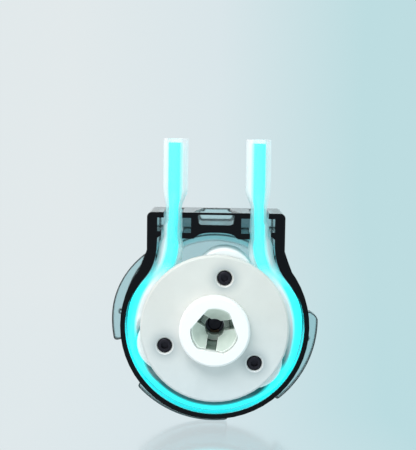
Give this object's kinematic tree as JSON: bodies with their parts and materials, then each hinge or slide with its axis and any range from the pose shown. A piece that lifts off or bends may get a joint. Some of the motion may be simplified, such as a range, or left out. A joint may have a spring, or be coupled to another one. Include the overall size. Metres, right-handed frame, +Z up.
{
  "type": "peristaltic pump head",
  "caption": "Peristaltic pump head: smoky cover with bayonet tabs and a looped tube, squeezed by rollers on a white spinning rotor with a socket for the drive spindle.",
  "frame": {"origin": "rotor axis at the cover's outer flat face", "axes": "+Y out of the cover's outer face, along the rotor axis; the drive side faces -Y; +Z up towards the tube ends; +X right as seen from the drive side"},
  "size_m": [0.043, 0.0175, 0.0592],
  "materials": {
    "smoky_polycarbonate": "gloss, see-through smoke grey-teal",
    "silicone_tube": "satin, translucent milky",
    "white_acetal": "satin",
    "roller_plastic": "satin",
    "collet_plastic": "satin pale green-grey",
    "dark_steel": "black oxide",
    "bright_steel": "turned",
    "spring_steel": "blued",
    "bronze": "sintered",
    "washer_plastic": "matt"
  },
  "bodies": {
    "head": {"front_cover": "smoky_polycarbonate", "pump_tube": "silicone_tube", "pivot_pin": "dark_steel", "thrust_washer": "washer_plastic", "retaining_clip": "spring_steel"},
    "rotor": {"rotor_body": "white_acetal", "rotor_cap": "white_acetal", "rotor_bush": "bronze", "drive_collet": "collet_plastic", "roller_pin_1": "dark_steel", "roller_pin_2": "dark_steel", "roller_pin_3": "dark_steel", "rotor_screw_1": "bright_steel", "rotor_screw_2": "bright_steel", "rotor_screw_3": "bright_steel"},
    "roller_1": {"roller_1": "roller_plastic", "roller_bush_1": "bronze"},
    "roller_2": {"roller_2": "roller_plastic", "roller_bush_2": "bronze"},
    "roller_3": {"roller_3": "roller_plastic", "roller_bush_3": "bronze"}
  },
  "joints": [
    {"name": "rotor_spin", "type": "hinge", "parent": "head", "child": "rotor", "pos_m": [0, -0.0096, 0], "axis": [0, -1, 0], "continuous": true, "deforming": ["pump_tube"]},
    {"name": "roller_1_spin", "type": "hinge", "parent": "rotor", "child": "roller_1", "pos_m": [0.00182, -0.0096, 0.01034], "axis": [0, -1, 0], "continuous": true},
    {"name": "roller_2_spin", "type": "hinge", "parent": "rotor", "child": "roller_2", "pos_m": [-0.00993, -0.0096, -0.00342], "axis": [0, -1, 0], "continuous": true},
    {"name": "roller_3_spin", "type": "hinge", "parent": "rotor", "child": "roller_3", "pos_m": [0.00804, -0.0096, -0.00675], "axis": [0, -1, 0], "continuous": true}
  ],
  "couplings": [
    {"joint": "roller_1_spin", "follows": "rotor_spin", "ratio": -2.8261},
    {"joint": "roller_2_spin", "follows": "rotor_spin", "ratio": -2.8261},
    {"joint": "roller_3_spin", "follows": "rotor_spin", "ratio": -2.8261}
  ]
}
